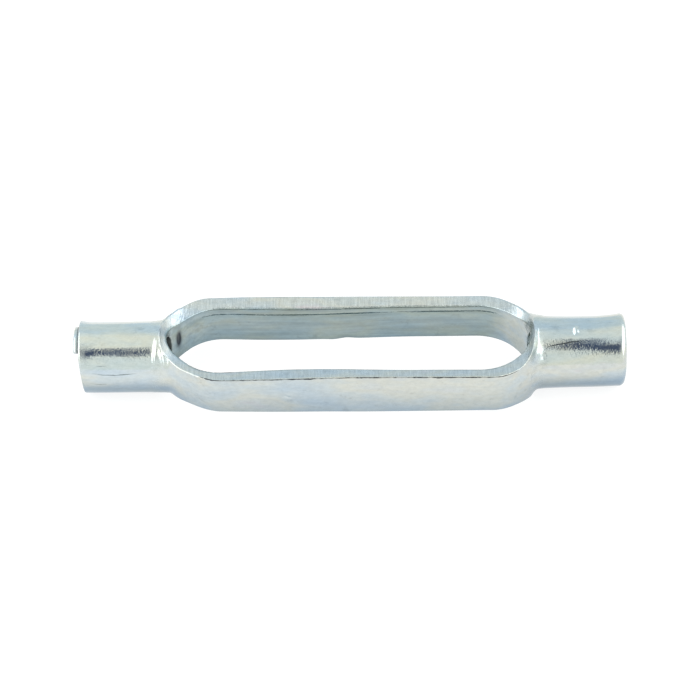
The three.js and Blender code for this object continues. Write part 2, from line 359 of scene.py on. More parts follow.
def blank(x, y, z):
    """The pressing before trimming and piercing: elliptical sections from boss to rein and back."""
    flare, swell = 0, 0
    for end in ENDS:
        near_rim = np.clip((end["side"] * x - END_FACE) / end["flare_length"] + 1, 0, 1)
        flare = flare + end["flare"] * near_rim**2
        outwards = end["side"] * (x - end["slot"])
        fading = np.clip(1 - outwards / SWELL_LENGTH, 0, 1) ** 2
        swell = swell + end["swell"] * fading * ease(outwards, SWELL_START, 0)
    flare_and_swell = FLARE_EVENLY * flare + swell
    width = outer_half_width(x, y) + flare_and_swell
    height = BOSS_RADIUS + (BARREL_HALF_HEIGHT - BOSS_RADIUS) * standing(x, y) + flare_and_swell
    across = y - flare * math.cos(FLARE_ANGLE)
    up = z - flare * math.sin(FLARE_ANGLE)
    size = np.maximum(np.hypot(across / width, up / height), TINY_SHARE)
    slope = np.hypot(across / width**2, up / height**2) / size
    return (size - 1) / np.maximum(slope, 1)


def slot_plan(x, y):
    """Distance outside the slot's outline, seen from above."""
    across = np.abs(y)
    tips = []
    for end in ENDS:
        outwards = end["side"] * (x - end["slot"]) + end["tip"]
        flank = (outwards + across) / math.sqrt(2)
        tips.append(np.where(outwards > across, np.hypot(outwards, across), flank) - end["tip"])
    narrowing = SLOT_NARROWING * (1 - ease(np.abs(x - NARROWING_AT), 0, NARROWING_REACH))
    return blended_max(np.maximum(*tips), across - SLOT_HALF_WIDTH + narrowing, FLANK_BLEND)


def flats(x, y, z, outside):
    """What the flat dies leave: below the reins' canted top faces, or below the shoulders' ramps."""
    near, upper = ease(-y, *NEAR_BLEND), ease(z, *UPPER_BLEND)
    near_top = NEAR_TOP_EDGE + NEAR_TOP_RISE * np.minimum(x, 0) - REIN_OUTER_EDGE
    cant = (REIN_OUTER_EDGE + near_top * near * upper - REIN_INNER_EDGE) / REIN_THICKNESS
    top = REIN_INNER_EDGE + cant * np.clip(outside, 0, REIN_THICKNESS)
    for (height, middle, reach), share in ((FAR_LIFT, 1 - near), (NEAR_LIFT, near)):
        top = top + height * bell((x - middle) / reach) * share * upper
    slope = 0
    for end in ENDS:
        inwards = end["side"] * (end["slot"] - x)
        rise = end["rise"] * np.exp(np.minimum(-inwards / end["decay"], RAMP_LIMIT))
        top = top + rise
        slope = slope + rise / end["decay"]
    return (np.abs(z) - top) / np.hypot(1, slope)


def outer_round(x, y, z):
    """The round between the flats and the outer faces."""
    near_slot_end = 1 - standing(x, y, JUNCTION_LENGTH)
    junction = near_slot_end * ease(y, *JUNCTION_ROUND_ACROSS)
    upper = EDGE_ROUND + (JUNCTION_ROUND - EDGE_ROUND) * junction
    return upper + (UNDER_ROUND - upper) * ease(-z, *UPPER_BLEND)


def slot_wall(y, z, outside):
    """The slot's wall, a little hollow, with a ledge along its far side."""
    hollow = REIN_HOLLOW * np.clip(1 - (z / REIN_INNER_EDGE) ** 2, 0, 1)
    above = ease(z, LEDGE_HEIGHT - LEDGE_REACH, LEDGE_HEIGHT + LEDGE_REACH)
    return hollow + LEDGE_DEPTH * above * ease(y, *LEDGE_ACROSS) - outside


def slot_round(x, y, z):
    """The round along the slot's edges: small at its tips, larger where the punch drew the far edge in."""
    from_ends = np.minimum(x - LEFT["slot"], RIGHT["slot"] - x)
    rolled = ease(z, *UPPER_BLEND) * ease(y, *DIE_ROLL_ACROSS)
    run = SLOT_EDGE_ROUND + (DIE_ROLL - SLOT_EDGE_ROUND) * rolled
    return SLOT_TIP_ROUND + (run - SLOT_TIP_ROUND) * ease(from_ends, *SLOT_TIP_ALONG)


def end_faces(x, y, z):
    """Distance outside the two sheared end faces."""
    down = -(y * LENS_UP.y + z * LENS_UP.z)
    lean = (np.hypot(down, SLANT_SOFTNESS) + down) / (2 * BOSS_RADIUS)
    return np.maximum(*[end["side"] * x - END_FACE + end["slant"] * lean for end in ENDS])


def limits(z):
    """Distance outside the body's true height."""
    return np.maximum(z - body_high.z, body_low.z - z)


def bore(x, y, z):
    """The tapped bores, at full thread depth except for the short plain length beside the slot."""
    mouth = (np.hypot(y, z) - MOUTH_RADIUS + END_FACE - np.abs(x)) / math.sqrt(2)
    from_slot = np.maximum(*[end["side"] * (x - end["slot"]) for end in ENDS])
    threaded = ease(from_slot, *PLAIN_BORE_ENDS)
    across, up = [1 + (stretch - 1) * (1 - threaded) for stretch in PLAIN_BORE_OVAL]
    hole = np.hypot(across * y, up * z) - PLAIN_BORE - (THREAD_MAJOR - PLAIN_BORE) * threaded
    return np.minimum(hole, mouth)


def parting_lip(x, y, z):
    """The short ridge that stands proud of the left end face."""
    angle = np.arctan2(z, y) - LIP_ANGLE
    band = np.abs(np.hypot(y, z) - LIP_RADIUS) - LIP_HALF_WIDTH
    length = np.maximum(x + END_FACE - LIP_ROOT, -END_FACE - LIP_PROUD - x)
    sector = (np.abs(angle) - LIP_HALF_ANGLE) * LIP_RADIUS
    return both(both(band, length, LIP_ROUND), sector, LIP_ROUND)


def wave_set():
    """Seeded plane waves: direction over length, phase, and height."""
    random = np.random.default_rng(WAVE_SEED)
    directions = random.normal(size=(WAVE_COUNT, 3))
    directions *= WAVE_DRAW / np.linalg.norm(directions, axis=1)[:, None]
    lengths = random.uniform(*WAVE_LENGTHS, WAVE_COUNT)
    phases = random.uniform(0, 2 * math.pi, WAVE_COUNT)
    heights = WAVE_SLOPE * lengths / (2 * math.pi)
    return directions * (2 * math.pi / lengths)[:, None], phases, heights


WAVES = wave_set()


def waves(x, y, z):
    """How far the waves set the surface back: never negative, so they stay inside the true size."""
    depth = 0
    for (along, across, up), phase, height in zip(*WAVES):
        depth = depth + height * np.sin(along * x + across * y + up * z + phase)
    return np.maximum(depth + WAVES[2].sum() / 2, 0)


def bell(value):
    """1 at nought, falling smoothly to almost nothing at 2 on either side."""
    return np.exp(-np.minimum(value * value, BELL_END))


def window(value, start, end, softness):
    """1 between the start and the end, easing to 0 at both."""
    return ease(value, start, start + softness) * (1 - ease(value, end - softness, end))


def marks(x, y, z):
    """How far the forging's small marks raise the surface, or lower it where negative."""
    crease = bell((x - CREASE_X) / CREASE_WIDTH) * window(z, *CREASE_RISE, CREASE_SOFTNESS) * (y < 0)
    raised = -CREASE_DEPTH * crease
    for height, half_width, top, foot, foot_angle, top_angle in LAPS:
        along = (np.arctan2(z, -y) - foot_angle) / (top_angle - foot_angle)
        off_lap = (x - foot - (top - foot) * along) / half_width
        raised = raised + height * bell(off_lap) * window(along, 0, 1, LAP_SOFTNESS)
    for height, middle, reach in BUMPS:
        offsets = [(value / MM - at) / size for value, at, size in zip((x, y, z), middle, reach)]
        raised = raised + height * MM * bell(np.sqrt(sum(offset**2 for offset in offsets)))
    return raised


def body_field(x, y, z):
    """Distance to the whole body's surface, negative inside the metal."""
    outside = slot_plan(x, y)
    rim_round = np.where(x < 0, LEFT["rim_round"], RIGHT["rim_round"])
    solid = both(blank(x, y, z), end_faces(x, y, z), rim_round)
    solid = both(solid, flats(x, y, z, outside), outer_round(x, y, z))
    solid = both(solid, slot_wall(y, z, outside), slot_round(x, y, z))
    solid = both(solid, -bore(x, y, z), MOUTH_ROUND)
    solid = both(solid + waves(x, y, z) - marks(x, y, z), limits(z), LIMIT_ROUND)
    return np.minimum(solid, parting_lip(x, y, z))


def gradient(field, points):
    """The field's slope at each point."""
    columns = []
    for axis in range(3):
        shift = np.zeros(3)
        shift[axis] = SLOPE_STEP
        columns.append(field(*(points + shift).T) - field(*(points - shift).T))
    return np.stack(columns, axis=1) / (2 * SLOPE_STEP)


def onto_surface(field, points, rounds=4):
    """Moves points along the field's slope to its zero surface."""
    for _ in range(rounds):
        slope = gradient(field, points)
        steepness = np.maximum((slope**2).sum(1), LEAST_STEEPNESS)
        move = np.clip(field(*points.T) / steepness, -FINE, FINE)
        points = points - slope * move[:, None]
    return points


def graded(stops):
    """Grid lines through (place, spacing) stops: each spacing holds up to the next place."""
    lines = []
    for (start, spacing), (end, _) in zip(stops, stops[1:]):
        count = max(1, round((end - start) / spacing))
        lines.append(np.linspace(start, end, count, endpoint=False))
    return np.concatenate([*lines, [stops[-1][0]]])


def crossings(grid, values, cells):
    """The mean place where the surface crosses each cell's edges."""
    corners = [(i, j, k) for i in (0, 1) for j in (0, 1) for k in (0, 1)]
    total = np.zeros((len(cells), 3))
    count = np.zeros(len(cells))
    places = {}
    for corner in corners:
        at = cells + corner
        place = np.stack([grid[axis][at[:, axis]] for axis in range(3)], axis=1)
        places[corner] = (place, values[at[:, 0], at[:, 1], at[:, 2]])
    for a in corners:
        for axis in range(3):
            if a[axis]:
                continue
            b = tuple(1 if i == axis else c for i, c in enumerate(a))
            (place_a, value_a), (place_b, value_b) = places[a], places[b]
            crossed = (value_a < 0) != (value_b < 0)
            share = np.where(crossed, value_a / np.where(crossed, value_a - value_b, 1), 0)
            total += crossed[:, None] * (place_a + share[:, None] * (place_b - place_a))
            count += crossed
    return total / count[:, None]


def net_quads(inside, index):
    """One quad round each grid edge that crosses the surface, facing out."""
    quads = []
    for axis in range(3):
        u, v = (axis + 1) % 3, (axis + 2) % 3
        low = np.take(inside, range(inside.shape[axis] - 1), axis)
        high = np.take(inside, range(1, inside.shape[axis]), axis)
        edges = np.argwhere(low != high)
        edges = edges[(edges[:, u] > 0) & (edges[:, v] > 0)]
        leaving = low[tuple(edges.T)]
        ring = []
        for du, dv in ((1, 1), (0, 1), (0, 0), (1, 0)):
            cell = edges.copy()
            cell[:, u] -= du
            cell[:, v] -= dv
            ring.append(index[tuple(cell.T)])
        ring = np.stack(ring, axis=1)
        quads.append(np.where(leaving[:, None], ring, ring[:, ::-1]))
    return np.concatenate(quads)


def joined(values, rounds=2):
    """Fills in between grid points that touch only diagonally, so that the surface never pinches."""
    values = values.copy()
    for axis in range(3):
        turned = np.moveaxis(values, axis, 0)
        for _ in range(rounds):
            a, b, c, d = turned[:, :-1, :-1], turned[:, 1:, 1:], turned[:, 1:, :-1], turned[:, :-1, 1:]
            pinched = ((a < 0) == (b < 0)) & ((c < 0) == (d < 0)) & ((a < 0) != (c < 0))
            for corner in (a, b, c, d):
                corner[pinched & (corner >= 0)] = -TINY
    return values


def surface_net(field, grid):
    """A quad mesh of the field's zero surface: one vertex in each cell that the surface passes through."""
    values = joined(field(*np.meshgrid(*grid, indexing="ij")))
    inside = values < 0
    count = np.zeros([n - 1 for n in inside.shape], int)
    for i in (0, 1):
        for j in (0, 1):
            for k in (0, 1):
                count += inside[i:, j:, k:][: count.shape[0], : count.shape[1], : count.shape[2]]
    active = (count > 0) & (count < 8)
    cells = np.argwhere(active)
    index = np.full(count.shape, -1)
    index[active] = np.arange(len(cells))
    return crossings(grid, values, cells), net_quads(inside, index)


def relaxed(points, quads, field, rounds=3):
    """Evens out the net: each vertex moves towards its neighbours' mean and back onto the surface."""
    pairs = np.concatenate([quads[:, [i, (i + 1) % 4]] for i in range(4)])
    pairs = np.concatenate([pairs, pairs[:, ::-1]])
    count = np.bincount(pairs[:, 0], minlength=len(points))[:, None]
    for _ in range(rounds):
        total = np.stack(
            [np.bincount(pairs[:, 0], points[pairs[:, 1], axis], len(points)) for axis in range(3)], axis=1
        )
        points = onto_surface(field, (points + total / count) / 2, rounds=2)
    return points


def smooth_mesh(name, points, faces):
    mesh = bpy.data.meshes.new(name)
    mesh.from_pydata(points, [], faces)
    mesh.polygons.foreach_set("use_smooth", [True] * len(faces))
    return mesh


def set_weight(mesh, name, values):
    mesh.attributes.new(name, "FLOAT", "POINT").data.foreach_set("value", values)


def lengthwise_stops():
    """Where the net's spacing changes along X."""
    return [
        (body_low.x - NET_MARGIN, FINE),
        (-END_FACE + FINE_AT_RIMS, COARSE),
        (LEFT["slot"] - FINE_OUTSIDE_SLOT, FINE),
        (LEFT["slot"] + FINE_INSIDE_SLOT, COARSE),
        (RIGHT["slot"] - FINE_INSIDE_SLOT, FINE),
        (RIGHT["slot"] + FINE_OUTSIDE_SLOT, COARSE),
        (FINE_AT_DENT[0], FINE),
        (FINE_AT_DENT[1], COARSE),
        (END_FACE - FINE_AT_RIMS, FINE),
        (END_FACE + NET_MARGIN, FINE),
    ]


def body_mesh():
    """The body's surface net, with exact normals and the weights of its finishes and of its painted shade."""
    grid = [graded(lengthwise_stops())]
    for axis in (1, 2):
        ends = (body_low[axis] - NET_MARGIN, body_high[axis] + NET_MARGIN)
        grid.append(graded([(end, FINE) for end in ends]))
    points, quads = surface_net(body_field, grid)
    points = onto_surface(body_field, points)
    points = relaxed(points, quads, body_field)
    points = onto_surface(body_field, points)
    mesh = smooth_mesh("body", points.tolist(), quads.tolist())
    normals = gradient(body_field, points)
    normals /= np.linalg.norm(normals, axis=1)[:, None]
    mesh.normals_split_custom_set_from_vertices(normals.tolist())
    for name, weight in weights(points, normals).items():
        set_weight(mesh, name, weight)
    return mesh


def lip_crevice_shade(x, y, z):
    """Painted shade in the hollow between the parting lip and the left end face."""
    middle, reach = LIP_CREVICE_SHADE
    along = bell((x + END_FACE - middle) / reach)
    beside = np.abs(np.arctan2(z, y) - LIP_ANGLE) < LIP_HALF_ANGLE
    return along * beside * (np.hypot(y, z) > LIP_RADIUS - LIP_HALF_WIDTH - LIP_CREVICE_SHADE_INSIDE)


def tap_streak_shade(x, y, z, outside):
    """Painted shade: a dark streak in the far wall beside the left bore."""
    off_x = (x - TAP_SHADE[0]) / TAP_SHADE_REACH[0]
    off_z = (z - TAP_SHADE[1]) / TAP_SHADE_REACH[1]
    return bell(np.hypot(off_x, off_z)) * (y > 0) * (outside < TAP_SHADE_OUTSIDE)


def weights(points, normals):
    """Where the finishes differ, on the flats and laps, and where shade is painted: the slot's walls, the
    bores, the undersides, the hollow behind the lip and the streak beside the left bore.
    """
    x, y, z = points.T
    outside = slot_plan(x, y)
    recess_shade_and_streaks = 1 - ease(outside, *RECESS_FADE)
    in_bore = 1 - ease(bore(x, y, z), *BORE_FADE)
    junctions = window(x, *LAPPED_LEFT, LAPPED_FADE) + window(x, *LAPPED_RIGHT, LAPPED_FADE)
    return {
        # Painted shade: the slot's walls are darkened, less towards the slot's right end
        "recess_shade_and_streaks": recess_shade_and_streaks * (1 - RECESS_PALING * ease(x, *RECESS_PALER)),
        # Painted shade: the bores are darkened, fading in along the right bore
        "bore": in_bore * np.where(x < 0, 1, ease(x - RIGHT["slot"], *RIGHT_BORE_FADE)),
        "flat": 1 - ease(np.abs(flats(x, y, z, outside)), *FLAT_FADE),
        "lapped": junctions * ease(outside, *LAPPED_OUTSIDE) + ease(np.abs(x), *LAPPED_RIMS),
        # Painted shade: darker where the surface faces down, and the lower it is
        "under": ease(-normals[:, 2] - UNDER_SHADE_BY_HEIGHT * z, *UNDER_SHADE_FACING),
        # Painted shade in the hollow behind the parting lip and in the streak beside the left bore
        "dark_lines_and_painted_shade": lip_crevice_shade(x, y, z) + TAP_SHADE_DARKNESS * tap_streak_shade(x, y, z, outside),
    }


def add_object(name, mesh, material):
    """A piece of the body, which rides with the root."""
    piece = bpy.data.objects.new(name, mesh)
    bpy.context.scene.collection.objects.link(piece)
    mesh.materials.append(material)
    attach(piece, "root")
    return piece


def smooth_noise(random, count, reach):
    """Seeded noise from 0 to 1 along a line, smooth over about this many steps."""
    draws = random.uniform(0, 1, count // reach + SPARE_DRAWS)
    return np.interp(np.arange(count) / reach, np.arange(len(draws)), draws)


def flash_path():
    """Points along the edge where the dies' flats meet the outer faces, evenly spaced in plan."""
    plan = np.array(FLASH_PLAN) * MM
    gone = np.r_[0, np.cumsum(np.linalg.norm(np.diff(plan, axis=0), axis=1))]
    steps = np.linspace(0, gone[-1], round(gone[-1] / FLASH_STEP))
    points = np.stack([np.interp(steps, gone, plan[:, 0]), np.interp(steps, gone, plan[:, 1])], axis=1)
    points = np.c_[points, np.full(len(points), BOSS_RADIUS)]

    def flat_field(x, y, z):
        return flats(x, y, z, slot_plan(x, y))

    for _ in range(FLASH_SETTLING):
        points = onto_surface(flat_field, points, rounds=1)
        points = onto_surface(blank, points, rounds=1)
    for _ in range(FLASH_SMOOTHING):
        points[1:-1] = (points[:-2] + 2 * points[1:-1] + points[2:]) / 4
    return onto_surface(body_field, points)


def ragged_radius(random, count, radii):
    """A tube's radius along its path: it rises and falls at random, and thins out at both ends."""
    ragged = sum(share * smooth_noise(random, count, reach) for share, reach in RAGGED_WAVES) ** 2
    radius = radii[0] + (radii[1] - radii[0]) * ragged
    from_ends = np.minimum(np.arange(count), np.arange(count)[::-1]) / RAGGED_END_STEPS
    return radius * np.minimum(1, RAGGED_END_SHARE + from_ends)


def tube_faces(count):
    """The quads between a closed tube's rings, and its two end caps."""
    quads = []
    for step in range(count - 1):
        for i in range(TUBE_SIDES):
            a, b = TUBE_SIDES * step + i, TUBE_SIDES * step + (i + 1) % TUBE_SIDES
            quads.append((a, a + TUBE_SIDES, b + TUBE_SIDES, b))
    last = TUBE_SIDES * (count - 1)
    caps = [tuple(range(TUBE_SIDES)), tuple(range(last + TUBE_SIDES - 1, last - 1, -1))]
    return quads + caps


def ragged_tube(name, path, radii, seed, share=1):
    """A thin closed tube swept along a path on the body, its radius and its sides uneven."""
    random = np.random.default_rng(seed)
    count = len(path)
    radius = ragged_radius(random, count, radii) * share
    along = np.gradient(path, axis=0)
    along /= np.linalg.norm(along, axis=1)[:, None]
    up = gradient(body_field, path)
    up -= (up * along).sum(1)[:, None] * along
    up /= np.linalg.norm(up, axis=1)[:, None]
    side = np.cross(along, up)
    least, spread_out, wave = RAGGED_SIDE
    rings = []
    for i in range(TUBE_SIDES):
        angle = 2 * math.pi * i / TUBE_SIDES
        reach = radius * (least + spread_out * smooth_noise(random, count, wave))
        rings.append(path + reach[:, None] * (math.cos(angle) * side + math.sin(angle) * up))
    points = np.stack(rings, axis=1).reshape(-1, 3)
    return smooth_mesh(name, points.tolist(), tube_faces(count))


def flash_line():
    """The light, ragged edge of the flash itself."""
    path = flash_path()
    along_reins = ease(np.abs(path[:, 1]), *FLASH_END_ACROSS)
    share = FLASH_END_SHARE + (1 - FLASH_END_SHARE) * along_reins
    return ragged_tube("flash", path, FLASH_RADII, FLASH_SEED, share)


def flash_crack_shade():
    """A thin tube under the flash along the near rein, painted dark: painted shade of the crack there."""
    path = flash_path()
    path = path[(path[:, 1] < CRACK_ACROSS) & (np.abs(path[:, 0]) < CRACK_HALF_LENGTH)]
    path[:, 2] -= CRACK_DROP
    mesh = ragged_tube("crack", onto_surface(body_field, path), CRACK_RADII, CRACK_SEED)
    # Painted shade: the tube takes the full dark tint
    set_weight(mesh, "dark_lines_and_painted_shade", np.ones(len(mesh.vertices)))
    return mesh


def fine_line(name, darkness, radii, places):
    """A thin line that runs along a boss, painted dark: a painted reflection on the right boss, and draw
    lines on the left.
    """
    along, rises = np.array(places).T * MM
    steps = np.linspace(along[0], along[-1], round((along[-1] - along[0]) / FINE_LINE_STEP))
    rise = np.interp(steps, along, rises)
    out = np.sqrt(BOSS_RADIUS**2 - rise**2)
    path = np.c_[steps, np.outer(rise, LENS_UP)[:, 1:] + np.outer(out, LENS_BACK)[:, 1:]]
    mesh = ragged_tube(name, onto_surface(body_field, path), np.array(radii) * MM, FINE_LINE_SEED)
    # The darkness is painted: on the right boss's line it is a painted reflection
    set_weight(mesh, "dark_lines_and_painted_shade", np.full(len(mesh.vertices), darkness))
    return mesh


def thread_points(end, start, steps):
    """The ridge's four corners at each step along its helix."""
    root = THREAD_MAJOR + THREAD_SUNK
    form = [
        (-THREAD_HALF_ROOT, root),
        (-THREAD_HALF_CREST, THREAD_MINOR),
        (THREAD_HALF_CREST, THREAD_MINOR),
        (THREAD_HALF_ROOT, root),
    ]
    points = []
    for step in range(steps + 1):
        turns, left = step / THREAD_COLUMNS, (steps - step) / THREAD_COLUMNS
        angle = end["hand"] * turns * 2 * math.pi
        fade = min(1, turns / THREAD_FADE_TURNS, left / THREAD_FADE_TURNS)
        width = max(fade, THREAD_LEAST_WIDTH)
        for offset, radius in form:
            lifted = root + (radius - root) * fade
            along = start + PITCH * turns + offset * width
            points.append((along, lifted * math.cos(angle), lifted * math.sin(angle)))
    return points


def thread_ridge(end):
    """One thread's ridge: a trapezium swept along its helix, rooted in the bore's wall, with closed ends."""
    outer = end["side"] * (END_FACE - THREAD_FROM_FACE)
    inner = end["slot"] + end["side"] * THREAD_FROM_SLOT
    start, stop = sorted((outer, inner))
    steps = int((stop - start) / PITCH * THREAD_COLUMNS)
    points = thread_points(end, start, steps)
    quads = []
    for step in range(steps):
        for i in range(4):
            a, b = 4 * step + i, 4 * step + (i + 1) % 4
            quads.append((a, b, b + 4, a + 4) if end["hand"] < 0 else (a, a + 4, b + 4, b))
    last = 4 * steps
    caps = [(3, 2, 1, 0), (last, last + 1, last + 2, last + 3)]
    quads += caps if end["hand"] < 0 else [tuple(reversed(cap)) for cap in caps]
    mesh = smooth_mesh("thread", points, quads)
    mesh.set_sharp_from_angle(angle=THREAD_SHARP_ANGLE)
    # Painted shade: the whole ridge takes the bores' dark tint, and their roughness
    set_weight(mesh, "bore", np.ones(len(points)))
    return mesh


class Nodes:
    """Builds a node tree: each call adds a node and returns its output socket."""

    def __init__(self, tree):
        self.tree = tree

    def add(self, kind, output=0, settings=None, **inputs):
        node = self.tree.nodes.new(kind)
        for name, value in (settings or {}).items():
            setattr(node, name, value)
        for name, value in inputs.items():
            key = int(name[1:]) if name[0] == "_" else name.replace("_", " ")
            self.put(node.inputs[key], value)
        return node.outputs[output]

    def put(self, socket, value):
        if isinstance(value, bpy.types.NodeSocket):
            self.tree.links.new(value, socket)
        else:
            socket.default_value = value

    def maths(self, operation, *values):
        inputs = {f"_{i}": value for i, value in enumerate(values)}
        return self.add("ShaderNodeMath", settings={"operation": operation}, **inputs)

    def dot(self, vector, axis):
        return self.add("ShaderNodeVectorMath", "Value", {"operation": "DOT_PRODUCT"}, _0=vector, _1=axis)

    def ease(self, value, start, end, low=0.0, high=1.0):
        ends = {"From_Min": start, "From_Max": end, "To_Min": low, "To_Max": high}
        return self.add("ShaderNodeMapRange", 0, {"interpolation_type": "SMOOTHSTEP"}, Value=value, **ends)

    def mix_by(self, blend, factor, a, b):
        return self.add("ShaderNodeMix", 2, {"data_type": "RGBA", "blend_type": blend}, _0=factor, _6=a, _7=b)

    def mix(self, factor, a, b):
        return self.mix_by("MIX", factor, a, b)

    def weight(self, name):
        return self.add("ShaderNodeAttribute", "Fac", {"attribute_name": name})

    def grey(self, value):
        return self.add("ShaderNodeCombineColor", 0, None, Red=value, Green=value, Blue=value)


# The passivation's faint tints, from blue through straw to rose
ZINC_TINTS = (
    (0.30, (0.50, 0.585, 0.645, 1)),
    (0.45, (0.575, 0.63, 0.64, 1)),
    (0.56, (0.635, 0.65, 0.60, 1)),
    (0.64, (0.60, 0.635, 0.625, 1)),
    (0.76, (0.65, 0.60, 0.62, 1)),
)

# What the tints are multiplied by: the flats' own tint, then painted shade in the slot's walls, the bores and
# threads and on the underside, and the painted dark of the lines and hollows, where the right boss's line is
# a painted reflection
FINISH_AND_SHADE_TINTS = (
    ("flat", (0.975, 0.97, 1.0, 1)),
    ("recess_shade_and_streaks", (0.54, 0.62, 0.625, 1)),
    ("bore", (0.08, 0.09, 0.09, 1)),
    ("under", (0.43, 0.53, 0.64, 1)),
    ("dark_lines_and_painted_shade", (0.10, 0.11, 0.13, 1)),
)

# The noise behind each pattern: its scale along X, Y and Z, and over all, then its detail and roughness
PATCHES = ((0.3, 1, 1), 190.0, 3.0, 0.55)
MOTTLE = ((0.5, 1, 1), 1500.0, 3.0, 0.7)
HATCH = ((1, 0.1, 0.4), 2600.0, 2.0, 0.6)
STAINS = ((0.6, 1, 1), 480.0, 4.0, 0.75)
STREAKS = ((0.05, 1, 1), 900.0, 2.0, 0.6)
WEAR = ((0.3, 1, 1), 700.0, 4.0, 0.65)
PEEL = ((1, 1, 1), 2500.0, 2.0, 0.6)
DRAWN = ((0.03, 1, 1), 3200.0, 2.0, 0.5)
SHEAR = ((1, 0.15, 1), 3000.0, 2.0, 0.6)

# Patterns that lighten or darken the tints: the noise's range and the brightness that it gives, and the
# weight that shows the pattern, where only one does
SHADES = (
    (MOTTLE, (0.3, 0.7, 0.94, 1.03), None),
    (HATCH, (0.3, 0.7, 0.89, 1.07), "flat"),
    (STAINS, (0.56, 0.74, 1.0, 0.84), None),
    (STREAKS, (0.3, 0.7, 0.88, 1.09), "recess_shade_and_streaks"),
)

# The left boss is a little brighter than the rest: a range along X, and the brightness that it gives
SHADE_ALONG = (-42 * MM, -25 * MM, 1.02, 0.955)

# Roughness: the wear noise's range and the roughness that it gives, and what each finish adds
WORN_ROUGHNESS = (0.35, 0.7, 0.04, 0.13)
FINISH_ROUGHNESS = (("bore", 0.4), ("flat", 0.16), ("lapped", 0.17))

# The fine relief: its depth, and how strong the drawn lines and the flats' shear marks are beside the peel
RELIEF_DEPTH = 0.0155 * MM
DRAWN_SHARE = 0.5
SHEAR_SHARE = 3.8


def pattern(nodes, place, stretch, scale, detail, roughness):
    """Noise that is drawn out along each axis whose stretch is below 1."""
    drawn_out = nodes.add("ShaderNodeMapping", 0, {"vector_type": "POINT"}, Vector=place, Scale=stretch)
    return nodes.add(
        "ShaderNodeTexNoise", 0, None, Vector=drawn_out, Scale=scale, Detail=detail, Roughness=roughness
    )


def zinc_tints(nodes, place):
    """Faint tints in patches drawn out along the piece."""
    ramp = nodes.add("ShaderNodeValToRGB", 0, None, Fac=pattern(nodes, place, *PATCHES))
    elements = ramp.node.color_ramp.elements
    while len(elements) < len(ZINC_TINTS):
        elements.new(0.5)
    for element, (position, colour) in zip(elements, ZINC_TINTS):
        element.position, element.color = position, colour
    return ramp


def zinc_colour(nodes, place):
    """The tints, with fine mottling, hatching, stains and streaks, the flats' own tint, and painted shade and
    a painted reflection where the weights say.
    """
    colour = zinc_tints(nodes, place)
    for noise, shades, weight_name in SHADES:
        brightness = nodes.ease(pattern(nodes, place, *noise), *shades)
        share = nodes.weight(weight_name) if weight_name else 1.0
        colour = nodes.mix_by("MULTIPLY", share, colour, nodes.grey(brightness))
    brightness = nodes.ease(nodes.dot(place, (1, 0, 0)), *SHADE_ALONG)
    colour = nodes.mix_by("MULTIPLY", 1.0, colour, nodes.grey(brightness))
    for weight_name, tint in FINISH_AND_SHADE_TINTS:
        colour = nodes.mix_by("MULTIPLY", nodes.weight(weight_name), colour, tint)
    return colour


def zinc_roughness(nodes, place):
    """A bright plating, worn in patches and duller in some finishes."""
    roughness = nodes.ease(pattern(nodes, place, *WEAR), *WORN_ROUGHNESS)
    for weight_name, added in FINISH_ROUGHNESS:
        roughness = nodes.maths("MULTIPLY_ADD", nodes.weight(weight_name), added, roughness)
    return roughness


def zinc_height(nodes, place):
    """Orange peel everywhere, fine draw lines along the piece, and shear marks across the flat faces."""
    peel = pattern(nodes, place, *PEEL)
    drawn = pattern(nodes, place, *DRAWN)
    shear = nodes.maths("MULTIPLY", pattern(nodes, place, *SHEAR), nodes.weight("flat"))
    height = nodes.maths("MULTIPLY_ADD", drawn, DRAWN_SHARE, peel)
    return nodes.maths("MULTIPLY_ADD", shear, SHEAR_SHARE, height)


def zinc_material():
    material = bpy.data.materials.new("zinc_plate")
    material.use_nodes = True
    shader = material.node_tree.nodes["Principled BSDF"]
    nodes = Nodes(material.node_tree)
    place = nodes.add("ShaderNodeTexCoord", "Object")
    height = zinc_height(nodes, place)
    bump = nodes.add("ShaderNodeBump", 0, None, Strength=1.0, Distance=RELIEF_DEPTH, Height=height)
    nodes.put(shader.inputs["Base Color"], zinc_colour(nodes, place))
    nodes.put(shader.inputs["Roughness"], zinc_roughness(nodes, place))
    nodes.put(shader.inputs["Normal"], bump)
    shader.inputs["Metallic"].default_value = 1
    return material


# The pale floor: half its width, its own grey, and how much it glows
FLOOR_HALF_WIDTH = 1.5
FLOOR_GREY = (0.2, 0.2, 0.2, 1)
FLOOR_GLOW = 0.85


def floor_material():
    material = bpy.data.materials.new("floor")
    material.use_nodes = True
    inputs = material.node_tree.nodes["Principled BSDF"].inputs
    inputs["Base Color"].default_value = FLOOR_GREY
    inputs["Roughness"].default_value = 1.0
    inputs["Specular IOR Level"].default_value = 0.0
    inputs["Emission Color"].default_value = (1, 1, 1, 1)
    inputs["Emission Strength"].default_value = FLOOR_GLOW
    return material


def add_floor():
    corners = [(-1, -1), (1, -1), (1, 1), (-1, 1)]
    points = [(FLOOR_HALF_WIDTH * x, FLOOR_HALF_WIDTH * y, body_low.z) for x, y in corners]
    mesh = bpy.data.meshes.new("floor")
    mesh.from_pydata(points, [], [(0, 1, 2, 3)])
    mesh.materials.append(floor_material())
    floor = bpy.data.objects.new("floor", mesh)
    bpy.context.scene.collection.objects.link(floor)


# The light tent: its cloth's colours in front and behind, and where one passes to the other
TENT_FRONT = (1.05, 1.09, 1.02, 1)
TENT_BACK = (0.80, 0.93, 0.99, 1)
TENT_BLEND = (0.3, 0.7)

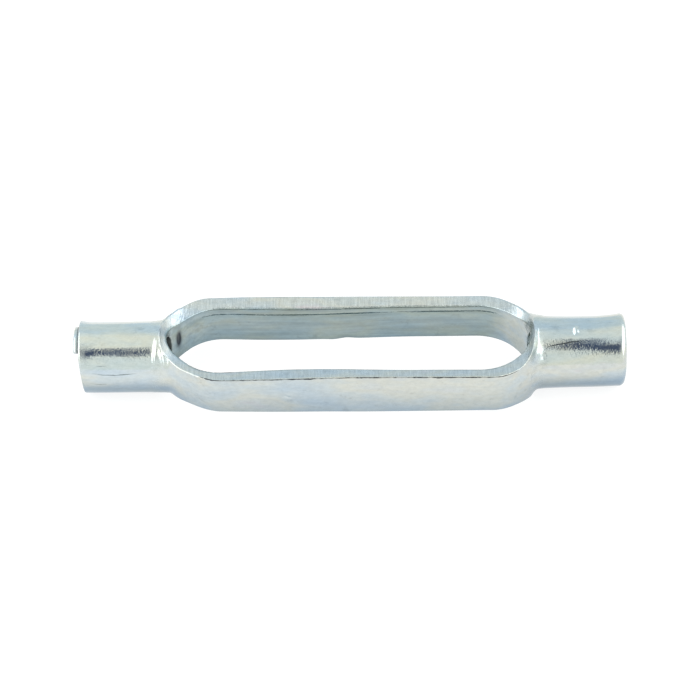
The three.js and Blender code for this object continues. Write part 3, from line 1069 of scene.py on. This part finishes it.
# The dark gap in the tent round the lens, which is a V with blunt arms that droop at their thin ends. Its
# places are tangents of angles from the lens's direction: how high each arm rises, its half height, where the
# left arm passes to the right one, where they rise, thin, droop and end, and the softness of the gap's edge.
TENT_GAP = (0.095, 0.125, 0.2, 1)
GAP_RISE_LEFT = 0.34
GAP_RISE_RIGHT = 0.5
GAP_HALF_HEIGHT_LEFT = 0.3
GAP_HALF_HEIGHT_RIGHT = 0.4
GAP_HALF_HEIGHT_ENDS = 0.04
GAP_SIDES = (-0.03, 0.03)
GAP_RISES = (0, 0.07)
GAP_THINS = (0.09, 0.135)
GAP_DROOPS = (0.1, 0.19)
GAP_ENDS = (0.17, 0.2)
GAP_EDGE = (-0.01, 0.03)
GAP_LEAST_AHEAD = 0.1


def tent_gap(nodes, direction):
    """How far a direction is inside the gap round the lens: 1 inside, 0 outside."""
    ahead = nodes.dot(direction, LENS_BACK)
    rise = nodes.maths("DIVIDE", nodes.dot(direction, LENS_UP), ahead)
    aside = nodes.maths("DIVIDE", nodes.dot(direction, (1, 0, 0)), ahead)
    reach = nodes.maths("ABSOLUTE", aside)
    arm_rise = nodes.ease(aside, *GAP_SIDES, GAP_RISE_LEFT, GAP_RISE_RIGHT)
    risen = nodes.maths("MULTIPLY", nodes.ease(reach, *GAP_RISES), nodes.ease(reach, *GAP_DROOPS, 1, 0))
    middle = nodes.maths("MULTIPLY", risen, arm_rise)
    from_middle = nodes.maths("ABSOLUTE", nodes.maths("SUBTRACT", rise, middle))
    arm_half_height = nodes.ease(aside, *GAP_SIDES, GAP_HALF_HEIGHT_LEFT, GAP_HALF_HEIGHT_RIGHT)
    half_height = nodes.ease(reach, *GAP_THINS, arm_half_height, GAP_HALF_HEIGHT_ENDS)
    gap = nodes.ease(nodes.maths("SUBTRACT", half_height, from_middle), *GAP_EDGE)
    gap = nodes.maths("MULTIPLY", gap, nodes.ease(reach, *GAP_ENDS, 1, 0))
    return nodes.maths("MULTIPLY", gap, nodes.maths("GREATER_THAN", ahead, GAP_LEAST_AHEAD))


def add_world():
    """The light tent, with its dark gap round the lens."""
    world = bpy.data.worlds.new("tent")
    bpy.context.scene.world = world
    world.use_nodes = True
    nodes = Nodes(world.node_tree)
    direction = nodes.add("ShaderNodeTexCoord", "Generated")
    behind = nodes.ease(nodes.dot(direction, (0, 1, 0)), *TENT_BLEND)
    cloth = nodes.mix(behind, TENT_FRONT, TENT_BACK)
    background = world.node_tree.nodes["Background"]
    nodes.put(background.inputs["Color"], nodes.mix(tent_gap(nodes, direction), cloth, TENT_GAP))
    background.inputs["Strength"].default_value = 1.0


# Two soft boxes stand beside the ends: distance, width and height, radiance beside the tent's, the angle
# round from straight behind the body, and the angle above the floor
BOX_DISTANCE = 1.3
BOX_SIZE = (2.3, 1.3)
BOX_RADIANCE = 1.25
BOX_AZIMUTH = math.radians(98)
BOX_ELEVATION = math.radians(42)


def add_soft_boxes():
    for side in (-1, 1):
        data = bpy.data.lights.new("soft_box", "AREA")
        data.shape = "RECTANGLE"
        data.size, data.size_y = BOX_SIZE
        data.energy = BOX_RADIANCE * math.pi * BOX_SIZE[0] * BOX_SIZE[1]
        light = bpy.data.objects.new("soft_box", data)
        bpy.context.scene.collection.objects.link(light)
        level = math.cos(BOX_ELEVATION)
        across, behind = side * level * math.sin(BOX_AZIMUTH), level * math.cos(BOX_AZIMUTH)
        towards = Vector((across, behind, math.sin(BOX_ELEVATION)))
        light.location = towards * BOX_DISTANCE
        light.rotation_euler = towards.to_track_quat("Z", "Y").to_euler()


# The camera: a long lens above the near side, turned so that the screw axis rises a little to the right. The
# view's width where the body is, and how far its middle is to the right of the body's middle and above it.
DISTANCE = 0.6
VIEW_WIDTH = 141.6 * MM
VIEW_MIDDLE = (-0.49 * MM, 0.85 * MM)
ROLL = math.radians(0.68)
SENSOR_WIDTH_MM = 36
CLIP = (0.01, 10)


def add_camera():
    data = bpy.data.cameras.new("camera")
    camera = bpy.data.objects.new("camera", data)
    bpy.context.scene.collection.objects.link(camera)
    bpy.context.scene.camera = camera
    right = Vector((1, 0, 0))
    turned_right = right * math.cos(ROLL) - LENS_UP * math.sin(ROLL)
    turned_up = LENS_UP * math.cos(ROLL) + right * math.sin(ROLL)
    rotation = Matrix((turned_right, turned_up, LENS_BACK)).transposed()
    centre = turned_right * VIEW_MIDDLE[0] + turned_up * VIEW_MIDDLE[1]
    camera.matrix_world = Matrix.Translation(centre + LENS_BACK * DISTANCE) @ rotation.to_4x4()
    data.sensor_width = SENSOR_WIDTH_MM
    data.lens = SENSOR_WIDTH_MM * DISTANCE / VIEW_WIDTH
    data.clip_start, data.clip_end = CLIP


zinc = zinc_material()
body = add_object("body", body_mesh(), zinc)
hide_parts(BODY)
for name, end in (("thread_left", LEFT), ("thread_right", RIGHT)):
    add_object(name, thread_ridge(end), zinc)
add_object("flash_line", flash_line(), zinc)
add_object("flash_crack_shade", flash_crack_shade(), zinc)
for line in FINE_LINES:
    add_object(line[0], fine_line(*line), zinc)
add_floor()
add_world()
add_soft_boxes()
add_camera()
bpy.context.scene.view_settings.view_transform = "Standard"
